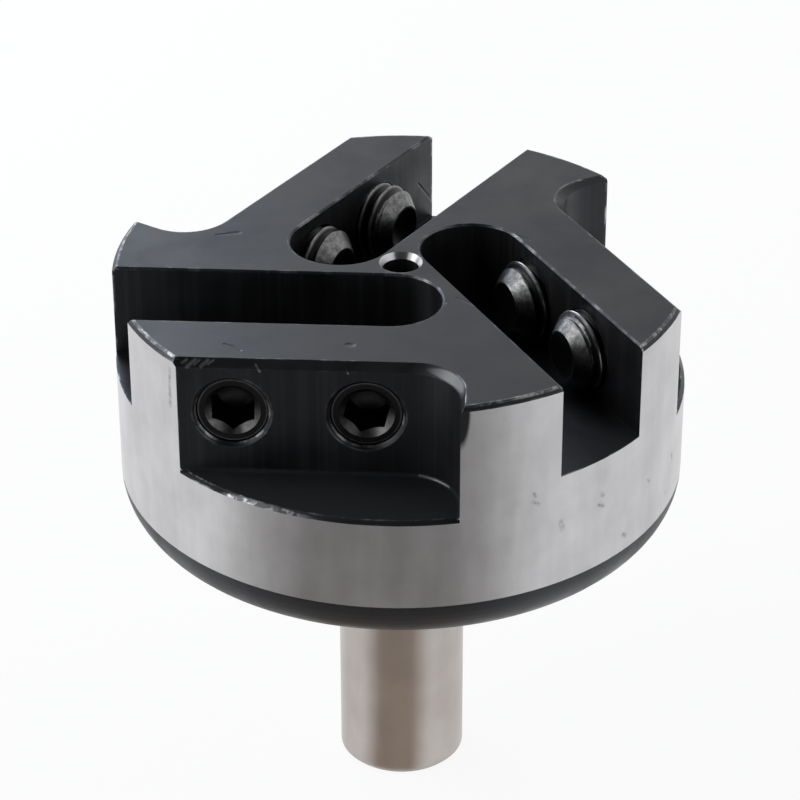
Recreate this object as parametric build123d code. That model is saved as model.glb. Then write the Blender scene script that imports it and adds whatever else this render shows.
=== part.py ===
from build123d import *
import os
from math import hypot, radians, sqrt, tan

# Polygon milling cutter: a round steel head on a straight shank, with three slots for square tool bits.
# Millimetres. +Z runs up the axis, the origin is the centre of the shank's end face,
# and the first slot runs out to the rim along -X.

# Turned blank
head_diameter = 70.0
head_height = 32.7
head_rim_chamfer = 0.55
head_bottom_radius = 6.0
shank_diameter = 16.0
shank_length = 39.0
shank_end_chamfer = 0.4

# Groove that clears the grinding wheel where the shank meets the head
relief_width = 2.0
relief_depth = 0.3

# Centre holes, in the head's face and in the shank's end
centre_mouth_diameter = 5.3
centre_bore_diameter = 4.4
centre_bore_depth = 8.0
centre_cone_angle = 60.0
drill_point_angle = 118.0

# Slots for the square tool bits
bit_size = 12.0
bit_side_room = 0.5
slot_depth = 12.0
slot_wall_offset = 3.05
slot_reach_past_axis = 5.5

# Wall that carries the clamping screws, and the pocket that gives a hex key its way in
clamp_wall_thickness = 9.32
pocket_depth = 14.85
pocket_end_offset = 8.6
pocket_corner_radius = 6.5
pocket_floor_fillet = 0.4
pocket_rim_chamfer = 0.5

# Bevel round the pocket's top edge: across the wall, across the end, down, and its corner on the face
pocket_bevel_width = 0.92
pocket_bevel_end_width = 0.45
pocket_bevel_depth = 0.9
pocket_bevel_corner_radius = 6.0

# Edge break along the slots' edges on the head's face
edge_break = 0.2

# Clamping screws: cup point set screws with a hex socket
screw_diameter = 10.0
screw_length = 12.0
screw_end_chamfer = 0.9
screw_radial_clearance = 0.05
screw_floor_room = 0.15
screw_rim_distance = 6.35
cup_diameter = 6.0
cup_land_width = 0.2
cup_angle = 118.0
socket_flat_width = 5.0
socket_depth = 5.0
socket_mouth_diameter = 6.6
socket_mouth_angle = 90.0

# Mouth of each screw's hole in the pocket: a countersunk lip at the thread's core diameter
screw_hole_mouth_diameter = 9.4
screw_hole_mouth_angle = 90.0
screw_hole_core_diameter = 8.5
screw_hole_lip_depth = 0.5

# How far back from the start of the slot's round end each inner screw sits
inner_setback_a = 1.9
inner_setback_b = 3.8
inner_setback_c = 3.8

# How far each screw's point stands out of the clamp wall into its slot
reach_a_outer = 3.3
reach_a_inner = 3.3
reach_b_outer = 3.25
reach_b_inner = 3.5
reach_c_outer = 4.2
reach_c_inner = 3.8

# How far a cutting profile runs past the head, and how near an arc's centre counts as on the axis
cut_overrun = 5.0
on_axis_tolerance = 0.001

head_radius = head_diameter / 2
shank_radius = shank_diameter / 2
head_bottom_z = shank_length
head_face_z = shank_length + head_height
slot_width = bit_size + bit_side_room
slot_radius = slot_width / 2
slot_centre_offset = slot_wall_offset + slot_radius
slot_end_x = slot_reach_past_axis - slot_radius
clamp_wall_offset = slot_wall_offset + slot_width
pocket_wall_offset = clamp_wall_offset + clamp_wall_thickness
pocket_wall_end_x = -sqrt(head_radius**2 - pocket_wall_offset**2)
profile_reach = head_radius + cut_overrun
screw_radius = screw_diameter / 2
screw_hole_radius = screw_radius + screw_radial_clearance
screw_z = head_face_z - slot_depth + screw_floor_room + screw_radius
outer_screw_x = pocket_wall_end_x + screw_rim_distance
screw_x = {
    "a": {"outer": outer_screw_x, "inner": slot_end_x - inner_setback_a},
    "b": {"outer": outer_screw_x, "inner": slot_end_x - inner_setback_b},
    "c": {"outer": outer_screw_x, "inner": slot_end_x - inner_setback_c},
}
screw_reach = {
    "a": {"outer": reach_a_outer, "inner": reach_a_inner},
    "b": {"outer": reach_b_outer, "inner": reach_b_inner},
    "c": {"outer": reach_c_outer, "inner": reach_c_inner},
}

from_below = (Align.CENTER, Align.CENTER, Align.MIN)
from_above = (Align.CENTER, Align.CENTER, Align.MAX)
turns = dict(zip(screw_x, PolarLocations(0, len(screw_x))))

# Tips +Z over to point from the first pocket through its wall into the slot
through_wall = (-90, 0, 0)


def cone_depth(mouth_diameter, end_diameter, angle):
    """Depth over which a cone of this included angle narrows from one diameter to the other."""
    return (mouth_diameter - end_diameter) / 2 / tan(radians(angle / 2))


def turned_blank():
    """Head and shank, turned from one bar."""
    head = Pos(Z=head_bottom_z) * Cylinder(head_radius, head_height, align=from_below)
    head = chamfer(head.edges().group_by(Axis.Z)[-1], head_rim_chamfer)
    head = fillet(head.edges().group_by(Axis.Z)[0], head_bottom_radius)
    shank = Cylinder(shank_radius, shank_length, align=from_below)
    shank = chamfer(shank.edges().group_by(Axis.Z)[0], shank_end_chamfer)
    relief = Cylinder(shank_radius, relief_width, align=from_above)
    relief -= Cylinder(shank_radius - relief_depth, relief_width, align=from_above)
    return head + shank - Pos(Z=head_bottom_z) * relief


def centre_hole():
    """Drilled centre hole with a ground cone at its mouth, going down from the origin."""
    cone = cone_depth(centre_mouth_diameter, centre_bore_diameter, centre_cone_angle)
    point = cone_depth(centre_bore_diameter, 0, drill_point_angle)
    mouth = Cone(centre_bore_diameter / 2, centre_mouth_diameter / 2, cone, align=from_above)
    bore = Cylinder(centre_bore_diameter / 2, centre_bore_depth, align=from_above)
    tip = Pos(Z=-centre_bore_depth) * Cone(0, centre_bore_diameter / 2, point, align=from_above)
    return mouth + bore + tip


def tool_slot():
    """Space of one slot: open at the rim and the face, round at its inner end."""
    straight = Rectangle(profile_reach + slot_end_x, slot_width, align=(Align.MAX, Align.CENTER))
    outline = Pos(slot_end_x, -slot_centre_offset) * (straight + Circle(slot_radius))
    return Pos(Z=head_face_z) * extrude(outline, -slot_depth)


def pocket_outline(wall_offset, end_offset, corner_radius):
    """Plan of one pocket: a flat milled off the head's side, ended by a wall with a round corner."""
    length = profile_reach + end_offset
    width = profile_reach - wall_offset
    outline = Pos(end_offset, -wall_offset) * Rectangle(length, width, align=Align.MAX)
    corner = outline.vertices().sort_by(Axis.X)[-2:].sort_by(Axis.Y)[-1]
    return fillet(corner, corner_radius)


def screw_pocket():
    """Space of one pocket: a fillet round its floor, and bevels along its top edge and its floor's rim."""
    plan = pocket_outline(pocket_wall_offset, pocket_end_offset, pocket_corner_radius)
    pocket = extrude(plan, -pocket_depth)
    pocket = fillet(pocket.edges().group_by(Axis.Z)[0], pocket_floor_fillet)
    top_wall = pocket_wall_offset - pocket_bevel_width
    top_end = pocket_end_offset + pocket_bevel_end_width
    top_plan = pocket_outline(top_wall, top_end, pocket_bevel_corner_radius)
    bevel = loft([Pos(Z=-pocket_bevel_depth) * plan, top_plan], ruled=True)
    ring = Cylinder(profile_reach, pocket_rim_chamfer, align=from_above)
    ring -= Cone(head_radius, head_radius - pocket_rim_chamfer, pocket_rim_chamfer, align=from_above)
    rim = Pos(Z=-pocket_depth) * (extrude(plan, -pocket_rim_chamfer) & ring)
    return Pos(Z=head_face_z) * (pocket + bevel + rim)


def screw_hole(x):
    """Space of one screw hole through the clamp wall, with a countersunk lip on the pocket's side."""
    sink = cone_depth(screw_hole_mouth_diameter, screw_hole_core_diameter, screw_hole_mouth_angle)
    core_radius = screw_hole_core_diameter / 2
    mouth = Cone(screw_hole_mouth_diameter / 2, core_radius, sink, align=from_below)
    core = Cylinder(core_radius, screw_hole_lip_depth, align=from_below)
    bore_length = clamp_wall_thickness - screw_hole_lip_depth + slot_radius
    bore = Pos(Z=screw_hole_lip_depth) * Cylinder(screw_hole_radius, bore_length, align=from_below)
    return Location((x, -pocket_wall_offset, screw_z), through_wall) * (mouth + core + bore)


def is_turned(edge):
    """True for an arc round the axis, which the lathe left."""
    if edge.geom_type != GeomType.CIRCLE:
        return False
    return hypot(edge.arc_center.X, edge.arc_center.Y) < on_axis_tolerance


def break_face_edges(body):
    """Breaks the sharp edges that milling the slots leaves on the head's face."""
    face = body.faces().sort_by(Axis.Z)[-1]
    milled = [edge for edge in face.edges() if not is_turned(edge)]
    return chamfer(milled, edge_break)


def cutter_body():
    """The whole steel body."""
    body = turned_blank()
    body -= Pos(Z=head_face_z) * centre_hole()
    body -= Rot(X=180) * centre_hole()
    for turn in turns.values():
        body -= turn * tool_slot()
    body = break_face_edges(body)
    for slot, turn in turns.items():
        body -= turn * screw_pocket()
        for x in screw_x[slot].values():
            body -= turn * screw_hole(x)
    return body


def set_screw():
    """One cup point set screw, with its socket end at the origin and its point up."""
    screw = Cylinder(screw_radius, screw_length, align=from_below)
    screw = chamfer(screw.edges().group_by(Axis.Z)[0], screw_end_chamfer)
    screw = chamfer(screw.edges().group_by(Axis.Z)[-1], screw_radius - cup_diameter / 2)
    cup_mouth = cup_diameter - 2 * cup_land_width
    cup = cone_depth(cup_mouth, 0, cup_angle)
    screw -= Pos(Z=screw_length) * Cone(0, cup_mouth / 2, cup, align=from_above)
    mouth = cone_depth(socket_mouth_diameter, 0, socket_mouth_angle)
    screw -= Cone(socket_mouth_diameter / 2, 0, mouth, align=from_below)
    socket = RegularPolygon(socket_flat_width / 2, 6, major_radius=False)
    return screw - extrude(socket, socket_depth)


def seat_screw(screw, turn, x, reach):
    """Places a screw in its hole, with its point standing out into the slot by reach."""
    end_y = reach - clamp_wall_offset - screw_length
    return turn * Location((x, end_y, screw_z), through_wall) * screw


os.makedirs("parts", exist_ok=True)
export_step(cutter_body(), "parts/cutter_body.step")
screw = set_screw()
for slot, turn in turns.items():
    for place, reach in screw_reach[slot].items():
        seated = seat_screw(screw, turn, screw_x[slot][place], reach)
        export_step(seated, f"parts/set_screw_{slot}_{place}.step")
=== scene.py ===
from math import cos, hypot, pi, radians, sin, tan

import bmesh
import bpy
from mathutils import Matrix, Vector


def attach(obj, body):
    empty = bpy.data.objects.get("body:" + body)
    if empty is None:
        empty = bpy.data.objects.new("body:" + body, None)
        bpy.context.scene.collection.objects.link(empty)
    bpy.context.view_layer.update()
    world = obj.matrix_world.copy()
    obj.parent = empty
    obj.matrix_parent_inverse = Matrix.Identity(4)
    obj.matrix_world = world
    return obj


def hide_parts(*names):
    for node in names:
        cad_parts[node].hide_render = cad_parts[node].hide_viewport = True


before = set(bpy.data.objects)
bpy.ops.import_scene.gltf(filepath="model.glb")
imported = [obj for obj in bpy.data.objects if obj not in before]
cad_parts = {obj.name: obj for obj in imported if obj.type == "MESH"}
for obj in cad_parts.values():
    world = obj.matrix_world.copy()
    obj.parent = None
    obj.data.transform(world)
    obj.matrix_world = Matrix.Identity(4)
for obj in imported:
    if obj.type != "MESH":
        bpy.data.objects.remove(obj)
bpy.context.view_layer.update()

# Polygon milling cutter. The frame's units are metres, and sizes below are in millimetres,
# turned to metres where they are used. +Z runs up the axis and the first slot lies along -X.


# Cutter body: head and shank turned from one bar of alloy steel, milled, then blackened all over
# in a hot oxide bath. After that the rim and the shank are ground back to bright steel.
mm_per_metre = 1000.0

# Its sizes, with heights above the shank's end face
head_radius = 35.0
head_face = 71.7
face_radius = 34.45
bevel_lower_edge = 70.8
floor_fillet = 57.05
ground_rim_high = 71.15
ground_rim_low = 45.0
shank_radius = 8.0
ground_shank_high = 37.0
ground_shank_low = 0.4
shank_foot = 1.0
centre_mouth_radius = 2.65
centre_cone_depth = 0.78


def metres(mm):
    """A length in millimetres, as metres."""
    return mm / mm_per_metre


def linear(code):
    """An sRGB hex colour as a linear colour with full alpha."""
    channels = [int(code[i:i + 2], 16) / 255 for i in (1, 3, 5)]
    return [c / 12.92 if c <= 0.04045 else ((c + 0.055) / 1.055) ** 2.4 for c in channels] + [1.0]


def add_node(tree, kind, inputs=None, **settings):
    """Adds a node with its own settings. inputs gives a socket a value, or the output that feeds it,
    or the node whose first output in use does."""
    made = tree.nodes.new(kind)
    for name, value in settings.items():
        setattr(made, name, value)
    for socket, value in (inputs or {}).items():
        if isinstance(value, bpy.types.Node):
            value = next(output for output in value.outputs if output.enabled)
        if isinstance(value, bpy.types.NodeSocket):
            tree.links.new(value, made.inputs[socket])
        else:
            made.inputs[socket].default_value = value
    return made


def new_material(name):
    """A material with an empty node tree, and that tree."""
    material = bpy.data.materials.new(name)
    material.use_nodes = True
    material.node_tree.nodes.clear()
    return material, material.node_tree


def piece_mm(tree, piece=None):
    """The place on the surface, in millimetres along the axes of its own piece, or of another one."""
    place = add_node(tree, "ShaderNodeTexCoord", object=piece).outputs["Object"]
    return add_node(tree, "ShaderNodeVectorMath", {0: place, "Scale": mm_per_metre}, operation="SCALE")


def axis_distance(tree, in_mm):
    """How far the place is from the piece's axis."""
    flat = add_node(tree, "ShaderNodeVectorMath", {0: in_mm, 1: (1.0, 1.0, 0.0)}, operation="MULTIPLY")
    return add_node(tree, "ShaderNodeVectorMath", {0: flat}, operation="LENGTH")


def joined(tree, masks, operation="MAXIMUM"):
    """Several masks taken together."""
    total = masks[0]
    for mask in masks[1:]:
        total = add_node(tree, "ShaderNodeMath", {0: total, 1: mask}, operation=operation)
    return total


def near_level(tree, value, level, inner, outer, strength=1.0, beyond=0.0):
    """strength where value is within inner of level, changing evenly to beyond where it is outer away."""
    off = add_node(tree, "ShaderNodeMath", {0: value, 1: level}, operation="SUBTRACT")
    off = add_node(tree, "ShaderNodeMath", {0: off}, operation="ABSOLUTE")
    return add_node(tree, "ShaderNodeMapRange", {"Value": off, "From Min": inner, "From Max": outer,
                                                 "To Min": strength, "To Max": beyond})


def stroke(tree, in_mm, start, end, width, strength=1.0):
    """strength along a short stroke from start to end, falling evenly to 0 at this width from it."""
    run = Vector(end) - Vector(start)
    from_start = add_node(tree, "ShaderNodeVectorMath", {0: in_mm, 1: Vector(start)}, operation="SUBTRACT")
    share = add_node(tree, "ShaderNodeVectorMath", {0: from_start, 1: run / run.length_squared},
                     operation="DOT_PRODUCT")
    held = add_node(tree, "ShaderNodeMath", {0: share, 1: 0.0}, operation="ADD", use_clamp=True)
    nearest = add_node(tree, "ShaderNodeVectorMath", {0: run, "Scale": held}, operation="SCALE")
    away = add_node(tree, "ShaderNodeVectorMath", {0: from_start, 1: nearest}, operation="DISTANCE")
    return add_node(tree, "ShaderNodeMapRange", {"Value": away, "From Max": width, "To Min": strength,
                                                 "To Max": 0.0})


def patch(tree, in_mm, middle, reach, strength=1.0):
    """strength in a rounded patch that reaches this far along x, y and z, falling to 0 over its outer quarter."""
    from_middle = add_node(tree, "ShaderNodeVectorMath", {0: in_mm, 1: middle}, operation="SUBTRACT")
    share = add_node(tree, "ShaderNodeVectorMath", {0: from_middle, 1: reach}, operation="DIVIDE")
    size = add_node(tree, "ShaderNodeVectorMath", {0: share}, operation="LENGTH")
    return add_node(tree, "ShaderNodeMapRange", {"Value": size, "From Min": 0.75, "From Max": 1.0,
                                                 "To Min": strength, "To Max": 0.0})


def lay_over(tree, share, under, over):
    """Ends a material whose upper shader covers the lower one by this share."""
    surface = add_node(tree, "ShaderNodeMixShader", {0: share, 1: under, 2: over})
    add_node(tree, "ShaderNodeOutputMaterial", {"Surface": surface})


# Hot black oxide on milled steel: a thin magnetite layer, close to black, with the satin gloss of the oil
# that seals it. Its reflections are tinted cold blue, partly its own sheen and partly painted blue light.
# Rubbed edges show the bare steel through it.
oxide_deep = "#111112"
oxide_pale = "#1a1a1b"
oxide_streak = "#28282a"
oxide_turned = "#303031"
oxide_sheen_and_blue_light = "#dbe3ee"
rubbed_steel = "#b4b6b8"
oiled_roughness, dry_roughness = 0.29, 0.52
torn_roughness = 0.35
rubbed_roughness = 0.35

# Widths of the finish's patterns, and depths of its relief. A noise texture stays mostly between 0.3
# and 0.7, and From Min and From Max say which part of that a pattern shows.
bath_cloud = 8.333
mill_streak = 0.909
lathe_ring = 0.625
steel_grain = 1 / 3
wear_patch = 2.632
knock_fleck = 1.111
grain_relief = 0.05
dent_depth = 0.12
edge_round = 0.10
edge_wear_width = 0.30

black_oxide, tree = new_material("black_oxide_milled_steel")
in_mm = piece_mm(tree)
height = add_node(tree, "ShaderNodeSeparateXYZ", {"Vector": in_mm}).outputs["Z"]

# The bath leaves soft clouds, in the colour and in the gloss
cloud = add_node(tree, "ShaderNodeTexNoise", {"Vector": in_mm, "Scale": 1 / bath_cloud, "Detail": 4.0,
                                              "Roughness": 0.6})
tint = add_node(tree, "ShaderNodeMix", {"Factor": cloud, "A": linear(oxide_deep), "B": linear(oxide_pale)},
                data_type="RGBA")
gloss = add_node(tree, "ShaderNodeMapRange", {"Value": cloud, "From Min": 0.3, "From Max": 0.7,
                                              "To Min": oiled_roughness, "To Max": dry_roughness})

# The end mill leaves faint upright streaks on the walls of the slots and pockets, where the surface
# faces neither up nor down
from_above = add_node(tree, "ShaderNodeMapping", {"Vector": in_mm, "Scale": (1.0, 1.0, 0.0)})
streaks = add_node(tree, "ShaderNodeTexNoise", {"Vector": from_above, "Scale": 1 / mill_streak, "Detail": 3.0,
                                                "Roughness": 0.6})
streaks = add_node(tree, "ShaderNodeMapRange", {"Value": streaks, "From Min": 0.46, "From Max": 0.66,
                                                "To Max": 0.8})
facing = add_node(tree, "ShaderNodeNewGeometry").outputs["Normal"]
facing_up = add_node(tree, "ShaderNodeSeparateXYZ", {"Vector": facing}).outputs["Z"]
on_wall = near_level(tree, facing_up, 0.0, inner=0.2, outer=0.5)
streaked = joined(tree, [streaks, on_wall], "MULTIPLY")
tint = add_node(tree, "ShaderNodeMix", {"Factor": streaked, "A": tint, "B": linear(oxide_streak)},
                data_type="RGBA")

# The rounded bottom edge is turned, not milled, and its oxide is a paler grey in faint rings, up
# to just above the foot of the ground rim
turned = add_node(tree, "ShaderNodeMapRange", {"Value": height, "From Min": ground_rim_low + 0.1,
                                               "From Max": ground_rim_low + 0.5, "To Min": 1.0, "To Max": 0.0})
rings = add_node(tree, "ShaderNodeTexNoise", {"W": height, "Scale": 1 / lathe_ring, "Detail": 2.0},
                 noise_dimensions="1D")
rings = add_node(tree, "ShaderNodeMapRange", {"Value": rings, "From Min": 0.3, "From Max": 0.7, "To Min": 0.55})
ringed = joined(tree, [turned, rings], "MULTIPLY")
tint = add_node(tree, "ShaderNodeMix", {"Factor": ringed, "A": tint, "B": linear(oxide_turned)},
                data_type="RGBA")

# The end mill's corner tears the fillet round the pocket floors, and the chamfer at the first
# pocket's outer end is scuffed: both are duller
torn = near_level(tree, height, floor_fillet, inner=0.2, outer=0.3, strength=torn_roughness)
scuffed = patch(tree, in_mm, middle=(-22.4, -27.2, 56.5), reach=(6.2, 6.2, 0.45), strength=torn_roughness)
gloss = joined(tree, [gloss, torn, scuffed], "ADD")

# Fine grain of the etched steel, on edges that aren't quite sharp
grain = add_node(tree, "ShaderNodeTexNoise", {"Vector": in_mm, "Scale": 1 / steel_grain, "Detail": 3.0,
                                              "Roughness": 0.6})
soft_edge = add_node(tree, "ShaderNodeBevel", {"Radius": metres(edge_round)}, samples=6)
texture = add_node(tree, "ShaderNodeBump", {"Height": grain, "Strength": 0.10, "Distance": metres(grain_relief),
                                            "Normal": soft_edge})

# Dents and scratches of handling on the face, and one long scratch on the third slot's wall:
# start, end and width of each
face_dents = [((-19.3, -20.9), (-18.4, -21.3), 0.30), ((-18.4, -21.3), (-17.4, -22.2), 0.30),
              ((-4.9, -20.3), (-4.6, -20.4), 0.55), ((5.5, -9.8), (5.7, -9.9), 0.35),
              ((7.2, -8.6), (10.2, -10.9), 0.25), ((8.9, -7.5), (11.0, -8.4), 0.20),
              ((13.0, 8.0), (15.5, 6.5), 0.20), ((-23.0, 5.8), (-21.5, 6.2), 0.30),
              ((-21.5, 6.2), (-20.4, 6.5), 0.50)]
wall_scratch = ((0.5, 31.95, 66.0), (2.2, 34.9, 62.0), 0.24)
dented = joined(tree, [stroke(tree, in_mm, (*start, head_face), (*end, head_face), width)
                       for start, end, width in face_dents] + [stroke(tree, in_mm, *wall_scratch)])
texture = add_node(tree, "ShaderNodeBump", {"Height": dented, "Strength": 0.8, "Distance": metres(dent_depth),
                                            "Normal": texture}, invert=True)

# Rubbed edges: short rays cast into the steel meet its far side only near an outward edge, which
# starts where 0.96 of them pass and is full at 0.76. The lower edge of the pocket bevels and the
# foot of the shank are out of reach and keep their oxide.
near_edge = add_node(tree, "ShaderNodeAmbientOcclusion", {"Distance": metres(edge_wear_width)}, samples=8,
                     inside=True, only_local=True).outputs["AO"]
edge = add_node(tree, "ShaderNodeMapRange", {"Value": near_edge, "From Min": 0.96, "From Max": 0.76})
patches = add_node(tree, "ShaderNodeTexNoise", {"Vector": in_mm, "Scale": 1 / wear_patch, "Detail": 4.0,
                                                "Roughness": 0.6})
patchy = add_node(tree, "ShaderNodeMapRange", {"Value": patches, "From Min": 0.50, "From Max": 0.68,
                                               "To Min": 0.04, "To Max": 0.9})
in_reach = near_level(tree, height, bevel_lower_edge, inner=0.22, outer=0.32, strength=0.15, beyond=1.0)
above_foot = add_node(tree, "ShaderNodeMapRange", {"Value": height, "From Min": shank_foot,
                                                   "From Max": 2 * shank_foot})
edge_wear = joined(tree, [edge, patchy, in_reach, above_foot], "MULTIPLY")

# The pocket bevel's round corner gets a share of bare steel as a painted glint, and flecks on the pocket floor's
# rim are rubbed bare
corner_painted_glint = patch(tree, in_mm, middle=(7.0, -27.0, 71.25), reach=(3.4, 4.6, 0.42), strength=0.22)
rim_rub = patch(tree, in_mm, middle=(-14.2, -31.8, 56.42), reach=(7.2, 4.6, 0.40))
flecks = add_node(tree, "ShaderNodeTexNoise", {"Vector": in_mm, "Scale": 1 / knock_fleck, "Detail": 3.0,
                                               "Roughness": 0.7})
flecks = add_node(tree, "ShaderNodeMapRange", {"Value": flecks, "From Min": 0.46, "From Max": 0.64,
                                               "To Min": 0.12, "To Max": 0.9})
rim_flecks = joined(tree, [rim_rub, flecks], "MULTIPLY")

# The face's rim is knocked all round, with flecks of bare steel along the upper edge of its chamfer
from_axis = axis_distance(tree, in_mm)
at_rim = near_level(tree, from_axis, face_radius, inner=0.12, outer=0.26, strength=0.85)
on_face = add_node(tree, "ShaderNodeMapRange", {"Value": height, "From Min": head_face - 0.35,
                                                "From Max": head_face - 0.2})
face_flecks = joined(tree, [at_rim, on_face, flecks], "MULTIPLY")

# Bright nicks: five cutter marks across the pocket bevel at its outer end, and two nicks in its lower
# edge. A fainter line of bare steel along the corner of the pocket's floor is a painted highlight of its fillet.
nicks = [((-20.3, -24.2, 71.45), (-20.9, -24.5, 71.1), 0.22), ((-20.9, -24.2, 71.45), (-21.7, -24.7, 70.9), 0.32),
         ((-21.9, -24.2, 71.45), (-22.5, -24.6, 71.0), 0.20), ((-22.4, -24.2, 71.45), (-23.3, -24.8, 70.9), 0.34),
         ((-23.4, -24.2, 71.45), (-23.9, -24.4, 71.1), 0.26),
         ((-15.4, -24.5, 71.2), (-14.9, -24.9, 70.5), 0.20), ((-4.9, -24.6, 70.9), (-4.7, -24.9, 70.5), 0.16)]
fillet_painted_highlight = [((3.6, -25.1, 57.1), (5.6, -26.0, 57.1), 0.28), ((5.6, -26.0, 57.1), (7.0, -27.3, 57.1), 0.28)]
bright = [stroke(tree, in_mm, *nick, strength=0.8) for nick in nicks]
fillet_highlight_strokes = [stroke(tree, in_mm, *part, strength=0.3) for part in fillet_painted_highlight]
# Share of bare steel: real edge wear and flecks, with the painted glint on the bevel corner and the painted fillet
# highlight.
bare_steel_share = joined(tree, [edge_wear, corner_painted_glint, rim_flecks, face_flecks] + bright + fillet_highlight_strokes)

oxide_shader = add_node(tree, "ShaderNodeBsdfPrincipled", {
    "Base Color": tint, "Metallic": 0.0, "Roughness": gloss, "Specular Tint": linear(oxide_sheen_and_blue_light),
    "Normal": texture})
bare_shader = add_node(tree, "ShaderNodeBsdfPrincipled", {
    "Base Color": linear(rubbed_steel), "Metallic": 1.0, "Roughness": rubbed_roughness, "Normal": texture})
lay_over(tree, bare_steel_share, oxide_shader, bare_shader)

# Cylindrically ground steel: fine rings of wheel marks, which draw the reflections out up and down.
# Real marks are 0.02 mm apart, too fine to show, and are drawn wider. Faint bands run along the
# axis, with soft clouds between, and small pits keep oxide that frays at its edges.
wheel_mark = 0.4
mark_relief = 0.03
band_width, band_length = 2.5, 16.667
ground_cloud = 6.25
oxide_fray = 0.4167
pit_roughness = 0.6

# The denoiser draws wavy lines in this steel where it is smoother than about 0.28. Its reflections
# are drawn out across the wheel marks, a quarter turn from the way round the axis.
smooth_ground, rough_ground = 0.285, 0.33
drawn_out = 0.7
quarter_turn = 0.25


def ground_metal(name, deep, pale, unground=(), flecks=()):
    """Ground steel between two tints. The wheel missed the unground patches, by middle and reach. Flecks are
    small pits with oxide left in them, by start, end and width."""
    material, tree = new_material(name)
    in_mm = piece_mm(tree)
    height = add_node(tree, "ShaderNodeSeparateXYZ", {"Vector": in_mm}).outputs["Z"]
    marks = add_node(tree, "ShaderNodeTexNoise", {"W": height, "Scale": 1 / wheel_mark, "Detail": 1.0},
                     noise_dimensions="1D")
    along = add_node(tree, "ShaderNodeMapping", {
        "Vector": in_mm, "Scale": (1 / band_width, 1 / band_width, 1 / band_length)})
    bands = add_node(tree, "ShaderNodeTexNoise", {"Vector": along, "Scale": 1.0, "Detail": 2.0,
                                                  "Roughness": 0.45})
    clouds = add_node(tree, "ShaderNodeTexNoise", {"Vector": in_mm, "Scale": 1 / ground_cloud, "Detail": 4.0,
                                                   "Roughness": 0.6})
    both = add_node(tree, "ShaderNodeMix", {"Factor": 0.6, "A": bands, "B": clouds})
    share = add_node(tree, "ShaderNodeMapRange", {"Value": both, "From Min": 0.38, "From Max": 0.62})
    tint = add_node(tree, "ShaderNodeMix", {"Factor": share, "A": linear(deep), "B": linear(pale)},
                    data_type="RGBA")
    cut = add_node(tree, "ShaderNodeBump", {"Height": marks, "Strength": 0.012, "Distance": metres(mark_relief)})
    polish = add_node(tree, "ShaderNodeMapRange", {"Value": bands, "From Min": 0.3, "From Max": 0.7,
                                                   "To Min": smooth_ground, "To Max": rough_ground})
    round_axis = add_node(tree, "ShaderNodeTangent", direction_type="RADIAL", axis="Z")
    steel = add_node(tree, "ShaderNodeBsdfPrincipled", {
        "Base Color": tint, "Metallic": 1.0, "Roughness": polish, "Anisotropic": drawn_out,
        "Anisotropic Rotation": quarter_turn, "Tangent": round_axis, "Normal": cut})
    if not (unground or flecks):
        add_node(tree, "ShaderNodeOutputMaterial", {"Surface": steel})
        return material
    frayed = add_node(tree, "ShaderNodeTexNoise", {"Vector": in_mm, "Scale": 1 / oxide_fray, "Detail": 3.0,
                                                   "Roughness": 0.6})
    broken = add_node(tree, "ShaderNodeMapRange", {"Value": frayed, "From Min": 0.40, "From Max": 0.62,
                                                   "To Min": 0.10, "To Max": 0.62})
    pits = joined(tree, [stroke(tree, in_mm, *fleck) for fleck in flecks])
    pits = joined(tree, [pits, broken], "MULTIPLY")
    left = joined(tree, [pits] + [patch(tree, in_mm, *missed) for missed in unground])
    # The oxide left in the pits has the same reflection tint, partly painted blue light.
    oxide = add_node(tree, "ShaderNodeBsdfPrincipled", {
        "Base Color": linear(oxide_deep), "Metallic": 0.0, "Roughness": pit_roughness,
        "Specular Tint": linear(oxide_sheen_and_blue_light)})
    lay_over(tree, left, steel, oxide)
    return material


ground_rim = ground_metal(
    "cylindrically_ground_rim_steel", "#bab9bb", "#c9c9cb",
    unground=[((8.6, -33.9, 71.2), (1.25, 1.4, 5.2))],
    flecks=[((17.0, -30.6, 58.5), (17.2, -30.5, 58.1), 0.30), ((16.9, -30.6, 57.4), (17.6, -30.2, 56.8), 0.34),
            ((24.9, -24.6, 54.9), (25.1, -24.4, 54.6), 0.40), ((24.6, -24.9, 53.6), (25.1, -24.4, 53.2), 0.46),
            ((20.2, -28.6, 53.4), (20.4, -28.5, 52.4), 0.50), ((27.6, -21.5, 47.3), (28.0, -21.0, 46.8), 0.45),
            ((30.4, -17.3, 52.4), (30.6, -17.0, 52.0), 0.28), ((33.4, -10.5, 51.9), (33.5, -10.1, 50.9), 0.34),
            ((32.8, -12.2, 47.6), (32.9, -12.0, 47.2), 0.30), ((-9.6, -33.7, 57.0), (-9.0, -33.8, 56.6), 0.50),
            ((-25.5, -24.0, 70.0), (-25.6, -23.9, 65.0), 0.40)])
ground_shank = ground_metal("cylindrically_ground_shank_steel", "#aea7a3", "#b9b3af")

# The wheel leaves its finish on the rim between its chamfer and its rounded bottom edge, on the
# shank, and on both centre cones. Corners of the mesh count as on a size when they are this near.
near = 0.02


def face_spread(mesh, face):
    """The least and the greatest distance of a face's corners from the axis, and their lowest and highest point."""
    corners = [mesh.vertices[i].co * mm_per_metre for i in face.vertices]
    out = [hypot(c.x, c.y) for c in corners]
    up = [c.z for c in corners]
    return min(out), max(out), min(up), max(up)


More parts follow.
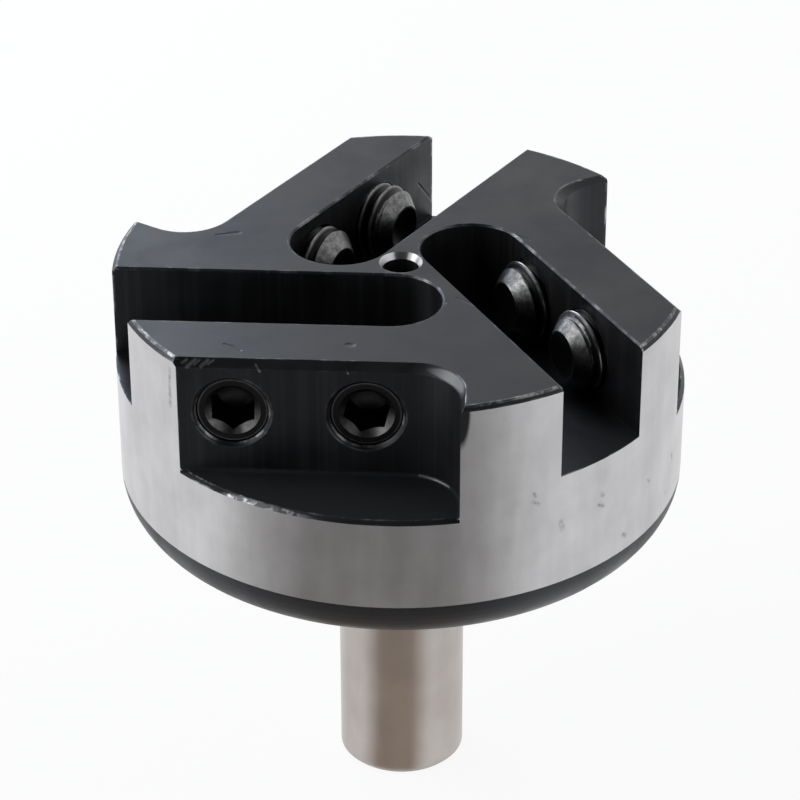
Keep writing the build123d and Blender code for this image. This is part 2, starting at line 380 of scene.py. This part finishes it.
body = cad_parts["cutter_body"]
body.data.materials.clear()
body_finishes = [black_oxide, ground_rim, ground_shank]
for material in body_finishes:
    body.data.materials.append(material)
for face in body.data.polygons:
    inner, outer, low, high = face_spread(body.data, face)
    on_rim = inner > head_radius - near and low > ground_rim_low - near and high < ground_rim_high + near
    on_shank = abs(inner - shank_radius) < near and abs(outer - shank_radius) < near
    on_shank = on_shank and low > ground_shank_low - near and high < ground_shank_high + near
    in_cone = low > head_face - centre_cone_depth - near or high < centre_cone_depth + near
    on_cone = in_cone and outer < centre_mouth_radius + near
    finish = ground_rim if on_rim or on_cone else ground_shank if on_shank else black_oxide
    face.material_index = body_finishes.index(finish)


# Clamping screws: six M10 cup point set screws with a hex socket, thread rolled, blackened and
# oiled. Each one is screwed through the wall beside its slot, to press on the tool bit.
screw_length = 12.0
thread_pitch = 1.5
thread_radius = 5.0
thread_depth = 0.81
socket_end_chamfer = 0.9
socket_flats = 5.0
socket_depth = 5.0
socket_drill_radius = 2.45
socket_mouth_radius = 3.3
point_radius = 3.0
cup_radius = 2.8
cup_angle = 118.0

# Half widths of the thread's crest and root as shares of its pitch, and how finely it is drawn
crest_half, root_half = 1 / 16, 1 / 8
turn_steps = 96
pitch_steps = 12
merge_distance = 0.0005
sharp_angle = 25


def outside_radius(along, share):
    """Radius of the screw at this height, and at this share of one pitch from the middle of a crest. The
    60 degree thread is cut back by the chamfer at each end."""
    from_crest = abs((share + 0.5) % 1.0 - 0.5)
    down = (from_crest - crest_half) / (0.5 - crest_half - root_half)
    thread = thread_radius - thread_depth * min(1.0, max(0.0, down))
    socket_end = thread_radius - socket_end_chamfer + along
    point_end = point_radius + screw_length - along
    return min(thread, socket_end, point_end)


def hexagon_radius(angle):
    """Distance from the axis to a hexagon's side in this direction."""
    return socket_flats / 2 / cos((angle + radians(30)) % radians(60) - radians(30))


def set_screw_mesh(name):
    """One set screw as a closed mesh, with its socket end at the origin and its point up."""
    rings = []
    pitches = int(screw_length / thread_pitch) + 2
    angles = [2 * pi * i / turn_steps for i in range(turn_steps)]

    def ring(radius_at, height_at):
        rings.append([(radius_at(a) * cos(a), radius_at(a) * sin(a), height_at(a)) for a in angles])

    # Outward from the drill's point, by the socket and its mouth, to the edge of the socket end
    drill_depth = socket_depth + socket_flats / 2 / tan(radians(cup_angle / 2))
    ring(lambda a: 0.0, lambda a: drill_depth)
    ring(lambda a: socket_drill_radius, lambda a: socket_depth)
    ring(hexagon_radius, lambda a: socket_depth)
    ring(hexagon_radius, lambda a: socket_mouth_radius - hexagon_radius(a))
    ring(lambda a: socket_mouth_radius, lambda a: 0.0)
    ring(lambda a: thread_radius - socket_end_chamfer, lambda a: 0.0)

    # Up the thread, then over the point and down into its cup
    thread_start = len(rings)
    for step in range(pitches * pitch_steps):
        share = step / pitch_steps

        def height(a):
            along = (share - 1.0 + a / (2 * pi)) * thread_pitch
            return min(screw_length, max(0.0, along))

        def radius(a):
            return outside_radius(height(a), height(a) / thread_pitch - a / (2 * pi))

        ring(radius, height)
    thread_end = len(rings) - 1
    ring(lambda a: point_radius, lambda a: screw_length)
    ring(lambda a: cup_radius, lambda a: screw_length)
    ring(lambda a: 0.0, lambda a: screw_length - cup_radius / tan(radians(cup_angle / 2)))

    def corner(r, i):
        """Number of a ring's corner. After a full turn a thread ring runs on into the one a pitch higher."""
        if i == turn_steps:
            i = 0
            if thread_start <= r <= thread_end:
                r = min(r + pitch_steps, thread_end)
        return r * turn_steps + i

    points = [[metres(v) for v in p] for r in rings for p in r]
    faces = [(corner(r, i), corner(r, i + 1), corner(r + 1, i + 1), corner(r + 1, i))
             for r in range(len(rings) - 1) for i in range(turn_steps)]
    mesh = bpy.data.meshes.new(name)
    mesh.from_pydata(points, [], faces)

    # Corners that fall together, at the poles and where the thread is cut off, become one
    form = bmesh.new()
    form.from_mesh(mesh)
    bmesh.ops.remove_doubles(form, verts=form.verts, dist=metres(merge_distance))
    bmesh.ops.recalc_face_normals(form, faces=form.faces)
    form.to_mesh(mesh)
    form.free()
    return mesh


# Black oxide on a rolled thread: smooth and deep black, with the crests and the edge of the
# socket end rubbed grey
screw_black = "#0d0e0f"
crest_grey = "#b0b1b3"
crest_rub_depth = 0.35
rolled_mottle = 0.8333
smooth_rolled, rough_rolled = 0.29, 0.40

screw_oxide, tree = new_material("black_oxide_rolled_screw_steel")
in_mm = piece_mm(tree)
from_axis = axis_distance(tree, in_mm)
along = add_node(tree, "ShaderNodeSeparateXYZ", {"Vector": in_mm}).outputs["Z"]
crest = add_node(tree, "ShaderNodeMapRange", {"Value": from_axis, "From Min": thread_radius - crest_rub_depth,
                                              "From Max": thread_radius, "To Max": 0.85})
end_radius = thread_radius - socket_end_chamfer
end_edge = near_level(tree, from_axis, end_radius, inner=0.05, outer=0.22, strength=0.35)
at_end = near_level(tree, along, 0.0, inner=0.2, outer=0.3)
end_ring = joined(tree, [end_edge, at_end], "MULTIPLY")
mottle = add_node(tree, "ShaderNodeTexNoise", {"Vector": in_mm, "Scale": 1 / rolled_mottle, "Detail": 4.0,
                                               "Roughness": 0.65})
patchy = add_node(tree, "ShaderNodeMapRange", {"Value": mottle, "From Min": 0.35, "From Max": 0.65,
                                               "To Min": 0.5})
bare_steel_share = joined(tree, [joined(tree, [crest, end_ring]), patchy], "MULTIPLY")
gloss = add_node(tree, "ShaderNodeMapRange", {"Value": mottle, "From Min": 0.3, "From Max": 0.7,
                                              "To Min": smooth_rolled, "To Max": rough_rolled})
black_shader = add_node(tree, "ShaderNodeBsdfPrincipled", {
    "Base Color": linear(screw_black), "Metallic": 0.0, "Roughness": gloss, "Specular IOR Level": 0.25})
grey_shader = add_node(tree, "ShaderNodeBsdfPrincipled", {
    "Base Color": linear(crest_grey), "Metallic": 1.0, "Roughness": gloss})
lay_over(tree, bare_steel_share, black_shader, grey_shader)

# Turned steel of the point, with the oxide rubbed thin: dull mottled grey. It shows on the upper side, over these
# heights on the body, as painted light, and the lower side stays black oxide as painted shade.
thin_oxide = "#707172"
point_steel = "#8c8c8d"
point_mottle = 0.769
point_roughness = 0.38
turned_oxide_roughness = 0.35
point_shade_ends, point_light_full = 64.6, 67.2

turned_point_rubbed_and_painted, tree = new_material("turned_screw_steel_rubbed_with_painted_shade")
in_mm = piece_mm(tree)
mottle = add_node(tree, "ShaderNodeTexNoise", {"Vector": in_mm, "Scale": 1 / point_mottle, "Detail": 5.0,
                                               "Roughness": 0.7})
cover = add_node(tree, "ShaderNodeMapRange", {"Value": mottle, "From Min": 0.36, "From Max": 0.62})
tint = add_node(tree, "ShaderNodeMix", {"Factor": cover, "A": linear(thin_oxide), "B": linear(point_steel)},
                data_type="RGBA")
dull = add_node(tree, "ShaderNodeBump", {"Height": mottle, "Strength": 0.12, "Distance": metres(grain_relief)})
height = add_node(tree, "ShaderNodeSeparateXYZ", {"Vector": piece_mm(tree, body)}).outputs["Z"]
# Painted light on the upper side of the point, painted shade on its lower side.
painted_light_above = add_node(tree, "ShaderNodeMapRange", {"Value": height, "From Min": point_shade_ends, "From Max": point_light_full,
                                              "To Min": 0.02, "To Max": 0.85})
patchy = add_node(tree, "ShaderNodeMapRange", {"Value": mottle, "From Min": 0.38, "From Max": 0.58,
                                               "To Min": 0.45})
bare_steel_and_painted_light = joined(tree, [painted_light_above, patchy], "MULTIPLY")
black_shader = add_node(tree, "ShaderNodeBsdfPrincipled", {
    "Base Color": linear(screw_black), "Metallic": 0.0, "Roughness": turned_oxide_roughness, "Normal": dull})
steel_shader = add_node(tree, "ShaderNodeBsdfPrincipled", {
    "Base Color": tint, "Metallic": 1.0, "Roughness": point_roughness, "Normal": dull})
lay_over(tree, bare_steel_and_painted_light, black_shader, steel_shader)

# The socket's mouth: mottled steel showing through the oxide, most on its lower side, between these heights
# on the body: a painted highlight below and painted shade above.
mouth_mottle = 1.111
mouth_roughness = 0.42
mouth_light_full, mouth_light_ends = 64.0, 65.6

socket_mouth_painted, tree = new_material("socket_mouth_painted_highlight")
in_mm = piece_mm(tree)
mottle = add_node(tree, "ShaderNodeTexNoise", {"Vector": in_mm, "Scale": 1 / mouth_mottle, "Detail": 4.0,
                                               "Roughness": 0.6})
cover = add_node(tree, "ShaderNodeMapRange", {"Value": mottle, "From Min": 0.35, "From Max": 0.65,
                                              "To Min": 0.2, "To Max": 0.6})
height = add_node(tree, "ShaderNodeSeparateXYZ", {"Vector": piece_mm(tree, body)}).outputs["Z"]
# Painted highlight on the mouth's lower side, painted shade on its upper side.
painted_light_below = add_node(tree, "ShaderNodeMapRange", {"Value": height, "From Min": mouth_light_full,
                                              "From Max": mouth_light_ends, "To Min": 1.0, "To Max": 0.1})
bare_steel_and_painted_light = joined(tree, [cover, painted_light_below], "MULTIPLY")
black_shader = add_node(tree, "ShaderNodeBsdfPrincipled", {
    "Base Color": linear(screw_black), "Metallic": 0.0, "Roughness": turned_oxide_roughness})
steel_shader = add_node(tree, "ShaderNodeBsdfPrincipled", {
    "Base Color": linear(point_steel), "Metallic": 1.0, "Roughness": mouth_roughness})
lay_over(tree, bare_steel_and_painted_light, black_shader, steel_shader)

screw_mesh = set_screw_mesh("set_screw")
screw_finishes = [screw_oxide, turned_point_rubbed_and_painted, socket_mouth_painted]
for material in screw_finishes:
    screw_mesh.materials.append(material)
point_foot = screw_length - (thread_radius - point_radius)
for face in screw_mesh.polygons:
    inner, outer, low, high = face_spread(screw_mesh, face)
    on_point = inner > cup_radius - near and low > point_foot - near
    on_mouth = low < near and outer < socket_mouth_radius + near
    finish = turned_point_rubbed_and_painted if on_point else socket_mouth_painted if on_mouth else screw_oxide
    face.material_index = screw_finishes.index(finish)
screw_mesh.shade_smooth()
screw_mesh.set_sharp_from_angle(angle=radians(sharp_angle))

# Each screw lies on the axis of its solid, points into its slot and has stopped at its own turn. The
# turns are in degrees from screw to screw, and none lets a screw's box stand above the cutter's face.
slot_spacing = 120
slot_spin, place_spin = 100, 75
for slot_number, slot in enumerate("abc"):
    turn = Matrix.Rotation(radians(slot_spacing * slot_number), 3, "Z")
    across, ahead = turn @ Vector((1, 0, 0)), turn @ Vector((0, 1, 0))
    basis = turn @ Matrix.Rotation(radians(-90), 3, "X")
    for place_number, where in enumerate(("outer", "inner")):
        node_name = f"set_screw_{slot}_{where}"
        solid = [v.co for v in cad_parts[node_name].data.vertices]
        side = [p.dot(across) for p in solid]
        height = [p.z for p in solid]
        start = min(p.dot(ahead) for p in solid)
        middle = across * (min(side) + max(side)) / 2 + ahead * start
        middle.z = (min(height) + max(height)) / 2
        spin = Matrix.Rotation(radians(slot_spin * slot_number + place_spin * place_number), 3, "Z")
        screw = bpy.data.objects.new(f"threaded_{node_name}", screw_mesh.copy())
        bpy.context.scene.collection.objects.link(screw)
        screw.matrix_world = Matrix.Translation(middle) @ (basis @ spin).to_4x4()
        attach(screw, "root")
        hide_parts(node_name)


# Studio floor: a matt white sheet under the cutter. It shows as white, with the cutter's shadow,
# and lies just below the shank's end so that the two don't share a plane.
floor_size = 6000.0
floor_gap = 0.05
sheet_white = "#ffffff"
sheet_glow_share = 0.92


def seen_directly(tree):
    """1 for a ray from the camera or by way of a reflection or clear glass, and 0 for other light."""
    rays = add_node(tree, "ShaderNodeLightPath").outputs
    return joined(tree, [rays["Is Camera Ray"], rays["Is Glossy Ray"], rays["Is Transmission Ray"]])


def stage_card(name, points, faces, material):
    """A piece of the studio, made from its corners in millimetres."""
    mesh = bpy.data.meshes.new(name)
    mesh.from_pydata([[metres(v) for v in p] for p in points], [], faces)
    mesh.materials.append(material)
    card = bpy.data.objects.new(name, mesh)
    bpy.context.scene.collection.objects.link(card)
    return card


def rectangle(width, depth, level=0.0):
    """Corners of a flat rectangle round the Z axis."""
    x, y = width / 2, depth / 2
    return [(-x, -y, level), (x, -y, level), (x, y, level), (-x, y, level)]


floor_white, tree = new_material("matt_white_sheet")
share = joined(tree, [seen_directly(tree), sheet_glow_share], "MULTIPLY")
sheet = add_node(tree, "ShaderNodeBsdfDiffuse", {"Color": linear(sheet_white)})
glow = add_node(tree, "ShaderNodeEmission", {"Color": linear(sheet_white), "Strength": 1.0})
lay_over(tree, share, sheet, glow)
stage_card("floor", rectangle(floor_size, floor_size, -floor_gap), [(0, 1, 2, 3)], floor_white)

# Grey card on the floor in front, below the picture, paler near the shank and fading out to both
# sides: the ground steel mirrors it as its soft dark middle. Angles are in degrees from its middle.
card_far_grey = "#8b8988"
card_near_grey = "#b0a296"
card_near_radius, card_far_radius = 20.0, 100.0
card_turn = -6.0
card_dark_half = 30.0
card_fade_half = 66.0
card_start, card_end = 8.4, 900.0
card_steps = 24
card_height = 0.3

# Near the shank the dark part narrows, by this length over the distance from the axis
card_narrowing = 4.0

grey_card, tree = new_material("grey_fading_card")
place = add_node(tree, "ShaderNodeTexCoord").outputs["Object"]
parts = add_node(tree, "ShaderNodeSeparateXYZ", {"Vector": place}).outputs
toward = add_node(tree, "ShaderNodeMath", {0: parts["Y"], 1: -1.0}, operation="MULTIPLY")
bearing = add_node(tree, "ShaderNodeMath", {0: parts["X"], 1: toward}, operation="ARCTAN2")
aside = add_node(tree, "ShaderNodeMath", {0: bearing}, operation="ABSOLUTE")
distance = add_node(tree, "ShaderNodeVectorMath", {0: place}, operation="LENGTH")
narrowing = add_node(tree, "ShaderNodeMath", {0: metres(card_narrowing), 1: distance}, operation="DIVIDE")
narrowed = add_node(tree, "ShaderNodeMath", {0: 1.0, 1: narrowing}, operation="SUBTRACT")
aside = add_node(tree, "ShaderNodeMath", {0: aside, 1: narrowed}, operation="DIVIDE")
fade = add_node(tree, "ShaderNodeMapRange", {"Value": aside, "From Min": radians(card_dark_half),
                                             "From Max": radians(card_fade_half)})
outward = add_node(tree, "ShaderNodeMapRange", {"Value": distance, "From Min": metres(card_near_radius),
                                                "From Max": metres(card_far_radius)})
grey = add_node(tree, "ShaderNodeMix", {"Factor": outward, "A": linear(card_near_grey),
                                        "B": linear(card_far_grey)}, data_type="RGBA")
shade = add_node(tree, "ShaderNodeMix", {"Factor": fade, "A": grey, "B": linear(sheet_white)}, data_type="RGBA")
glow = add_node(tree, "ShaderNodeEmission", {"Color": shade, "Strength": 1.0})
add_node(tree, "ShaderNodeOutputMaterial", {"Surface": glow})

bearings = [radians(card_fade_half * (2 * i / card_steps - 1)) for i in range(card_steps + 1)]
points = [(d * sin(a), -d * cos(a), card_height) for d in (card_start, card_end) for a in bearings]
row = len(bearings)
faces = [(i, i + 1, row + i + 1, row + i) for i in range(card_steps)]
floor_card = stage_card("floor_card", points, faces, grey_card)
floor_card.rotation_euler = (0, 0, radians(card_turn))
floor_card.visible_camera = False
floor_card.visible_diffuse = False
floor_card.visible_shadow = False

# Black sheet bent from behind the camera to overhead, which surfaces that lean forward mirror and
# stay dark, and a black card behind on the right that takes light off the near right of the face.
card_black = "#141414"
sheet_half_width = 420.0
sheet_rows = [(-560.0, 160.0), (-520.0, 420.0), (-300.0, 600.0), (-40.0, 660.0)]
back_card_spot = Vector((metres(100.0), metres(270.0), metres(460.0)))
back_card_width, back_card_height = 320.0, 220.0
head_middle = Vector((0, 0, metres(60.0)))

black_card, tree = new_material("black_card")
sheet = add_node(tree, "ShaderNodeBsdfDiffuse", {"Color": linear(card_black)})
add_node(tree, "ShaderNodeOutputMaterial", {"Surface": sheet})
points = [(x, y, z) for y, z in sheet_rows for x in (-sheet_half_width, sheet_half_width)]
faces = [(i, i + 1, i + 3, i + 2) for i in range(0, len(points) - 2, 2)]
front_sheet = stage_card("front_sheet", points, faces, black_card)
front_sheet.visible_camera = False
back_card = stage_card("back_right_card", rectangle(back_card_width, back_card_height), [(0, 1, 2, 3)], black_card)
back_card.location = back_card_spot
back_card.rotation_euler = (back_card_spot - head_middle).to_track_quat("Z", "Y").to_euler()
back_card.visible_camera = False


# Light: a white room, which the camera and the reflections see at full white, a soft lamp on the
# left, and a nearer, cooler one behind on the left.
room_strength = 0.5

world = bpy.data.worlds.new("white_room")
bpy.context.scene.world = world
world.use_nodes = True
tree = world.node_tree
tree.nodes.clear()
strength = add_node(tree, "ShaderNodeMapRange", {"Value": seen_directly(tree), "To Min": room_strength})
sky = add_node(tree, "ShaderNodeBackground", {"Color": linear(sheet_white), "Strength": strength})
add_node(tree, "ShaderNodeOutputWorld", {"Surface": sky})


def soft_lamp(name, spot, size, power, colour):
    """A square area lamp of this size and power in watts, turned to face the middle of the head."""
    data = bpy.data.lights.new(name, "AREA")
    data.size = metres(size)
    data.energy = power
    data.color = linear(colour)[:3]
    lamp = bpy.data.objects.new(name, data)
    bpy.context.scene.collection.objects.link(lamp)
    lamp.location = [metres(v) for v in spot]
    lamp.rotation_euler = (head_middle - lamp.location).to_track_quat("-Z", "Y").to_euler()
    lamp.visible_camera = False


soft_lamp("left_lamp", spot=(-500.0, -50.0, 400.0), size=300.0, power=1.1, colour="#ffffff")
soft_lamp("back_left_lamp", spot=(-200.0, 300.0, 240.0), size=220.0, power=0.7, colour="#dfeaff")

# Camera: at the photograph's viewing angle, with the long lens, the distance and the slight roll
# that the ellipses of the rim, the bottom edge and the shank give. Angles are in degrees.
view_azimuth = 3.22
view_elevation = 31.083
view_distance = 401.2
view_roll = -0.142
aim = Vector((metres(-0.13), 0, metres(52.16)))
camera_data = bpy.data.cameras.new("camera")
camera_data.lens = 145.1
camera_data.sensor_width = 36.0
camera_data.clip_start = metres(10.0)
camera = bpy.data.objects.new("camera", camera_data)
bpy.context.scene.collection.objects.link(camera)
azimuth, elevation = radians(view_azimuth), radians(view_elevation)
back = Vector((sin(azimuth) * cos(elevation), -cos(azimuth) * cos(elevation), sin(elevation)))
facing = (-back).to_track_quat("-Z", "Y")
camera.rotation_mode = "QUATERNION"
camera.rotation_quaternion = facing @ Matrix.Rotation(radians(view_roll), 3, "Z").to_quaternion()
camera.location = aim + back * metres(view_distance)
bpy.context.scene.camera = camera
bpy.context.scene.view_settings.view_transform = "Standard"
